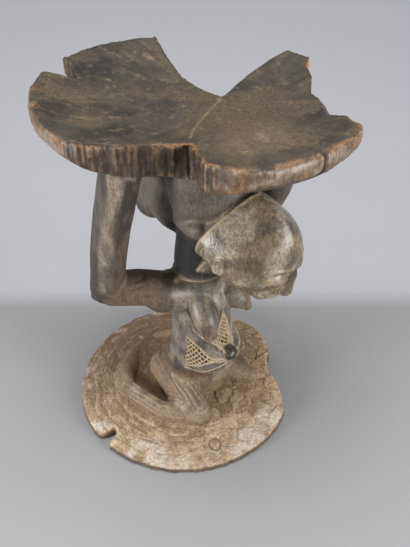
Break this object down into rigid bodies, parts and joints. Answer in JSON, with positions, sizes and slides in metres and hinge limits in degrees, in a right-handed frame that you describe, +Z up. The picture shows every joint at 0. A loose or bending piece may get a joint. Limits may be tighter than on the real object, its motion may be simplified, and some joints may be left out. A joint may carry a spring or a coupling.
{
  "type": "carved caryatid stool",
  "caption": "Round dished stool carved from one log: a kneeling figure on a round base holds up the seat with hands and head-dress; rim broken and cracked with age.",
  "frame": {"origin": "middle of the round base's flat underside, on the surface that the stool stands on", "axes": "+Z up; the figure faces -Y, so her right side is -X"},
  "size_m": [0.3111, 0.3111, 0.4132],
  "materials": {
    "old_wood": "dark handled patina on the figure, dull dusty wood on the base, rough grain in the breaks"
  },
  "bodies": {
    "root": {"stool": "old_wood"}
  },
  "joints": []
}
